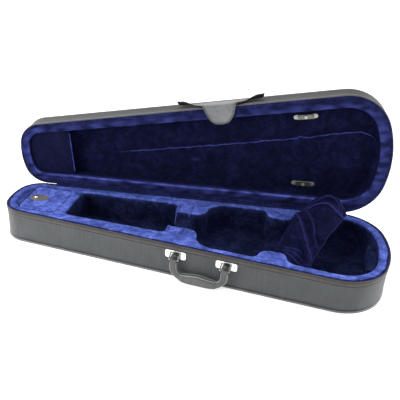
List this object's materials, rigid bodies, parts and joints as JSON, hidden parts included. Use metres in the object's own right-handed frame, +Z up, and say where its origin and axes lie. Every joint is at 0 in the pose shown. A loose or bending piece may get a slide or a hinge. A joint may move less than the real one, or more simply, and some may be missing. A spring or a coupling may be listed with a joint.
{
  "type": "violin case",
  "caption": "Dart-shaped violin case with its lid swung open on a fabric hinge: velvet-padded wells, lidded compartment, bow clips, zip and a swinging carry handle.",
  "frame": {"origin": "centre of the base outline's length and width, on the plane the case rests on", "axes": "+X along the case to its wide end, +Y to the hinge side, +Z up"},
  "size_m": [0.8017, 0.3173, 0.3328],
  "materials": {
    "nylon": "matte woven",
    "velvet": "soft velvet",
    "band_velvet": "soft velvet",
    "zip_tape": "matte woven tape",
    "zip_coil": "matte",
    "piping": "satin cord cover",
    "leatherette": "fine grain, satin",
    "chrome": "polished",
    "clip_chrome": "polished",
    "steel": "satin",
    "zip_metal": "satin black",
    "core_plastic": "matte",
    "pull_plate": "semi-gloss",
    "pull_stud": "gloss"
  },
  "bodies": {
    "base": {"base_bottom_panel": "nylon", "base_hinge_tape": "zip_tape", "base_piping": "piping", "base_side_wall": "nylon", "base_zip_coil": "zip_coil", "base_zip_tape": "zip_tape", "end_pin_cushion": "velvet", "front_body_pad": "velvet", "front_neck_pad": "velvet", "handle_loop_left": "steel", "handle_loop_right": "steel", "handle_plate_left": "chrome", "handle_plate_right": "chrome", "neck_saddle": "velvet", "padded_floor": "velvet", "plate_rivets_left": "chrome", "plate_rivets_right": "chrome", "rear_body_pad": "velvet", "rear_neck_pad": "velvet", "scroll_end_block": "velvet", "velvet_band": "band_velvet", "wide_end_pad": "velvet"},
    "lid": {"bow_tip_pocket": "velvet", "flap_panel": "leatherette", "front_clip_base": "clip_chrome", "lid_floor_lining": "velvet", "lid_front_pad": "velvet", "lid_hinge_tape": "zip_tape", "lid_narrow_end_pad": "velvet", "lid_piping": "piping", "lid_rear_pad": "velvet", "lid_side_wall": "nylon", "lid_top_panel": "nylon", "lid_wide_end_pad": "velvet", "lid_zip_coil": "zip_coil", "lid_zip_tape": "zip_tape", "rear_clip_base": "clip_chrome"},
    "compartment_lid": {"compartment_lid": "velvet", "compartment_pull_plate": "pull_plate", "compartment_pull_stud": "pull_stud"},
    "handle": {"handle_core": "core_plastic", "handle_cover": "leatherette"},
    "flap_tongue": {"flap_tongue": "leatherette"},
    "front_clip": {"front_clip_bar": "clip_chrome"},
    "rear_clip": {"rear_clip_bar": "clip_chrome"},
    "slider_wide": {"zip_slider_wide": "zip_metal"},
    "slider_narrow": {"zip_slider_narrow": "zip_metal"},
    "pull_wide": {"zip_pull_wide": "zip_metal"},
    "pull_narrow": {"zip_pull_narrow": "zip_metal"}
  },
  "joints": [
    {"name": "lid_hinge", "type": "hinge", "parent": "base", "child": "lid", "pos_m": [-0.0284, 0.09948, 0.0717], "axis": [-0.9955, -0.0953, 0], "range_deg": [-90, 0]},
    {"name": "flap_tongue_fold", "type": "hinge", "parent": "lid", "child": "flap_tongue", "pos_m": [0.02144, 0.10104, 0.28955], "axis": [-0.9774, -0.0935, -0.1897], "range_deg": [0, 90]},
    {"name": "compartment_lid_hinge", "type": "hinge", "parent": "base", "child": "compartment_lid", "pos_m": [-0.279, 0, 0.0708], "axis": [0, 1, 0], "range_deg": [0, 105]},
    {"name": "handle_swing", "type": "hinge", "parent": "base", "child": "handle", "pos_m": [0.03931, -0.11852, 0.0465], "axis": [-0.9955, 0.0953, 0], "range_deg": [0, 110]},
    {"name": "front_clip_turn", "type": "hinge", "parent": "lid", "child": "front_clip", "pos_m": [0.19624, 0.15343, 0.26787], "axis": [-0.0953, 0.9955, 0], "range_deg": [0, 90]},
    {"name": "rear_clip_turn", "type": "hinge", "parent": "lid", "child": "rear_clip", "pos_m": [0.21074, 0.15482, 0.11556], "axis": [-0.0953, 0.9955, 0], "range_deg": [0, 90]},
    {"name": "zip_slider_wide_slide", "type": "slide", "parent": "base", "child": "slider_wide", "axis": [0.9955, 0.0953, 0], "range_m": [0, 0.04]},
    {"name": "zip_slider_narrow_slide", "type": "slide", "parent": "base", "child": "slider_narrow", "axis": [-0.9955, -0.0953, 0], "range_m": [0, 0.04]},
    {"name": "zip_pull_wide_swing", "type": "hinge", "parent": "slider_wide", "child": "pull_wide", "pos_m": [0.24049, 0.13064, 0.0662], "axis": [0.9955, 0.0953, 0], "range_deg": [0, 85]},
    {"name": "zip_pull_narrow_swing", "type": "hinge", "parent": "slider_narrow", "child": "pull_narrow", "pos_m": [-0.29751, 0.07915, 0.0662], "axis": [0.9955, 0.0953, 0], "range_deg": [0, 85]}
  ],
  "couplings": [
    {"joint": "flap_tongue_fold", "follows": "lid_hinge", "ratio": -1}
  ]
}
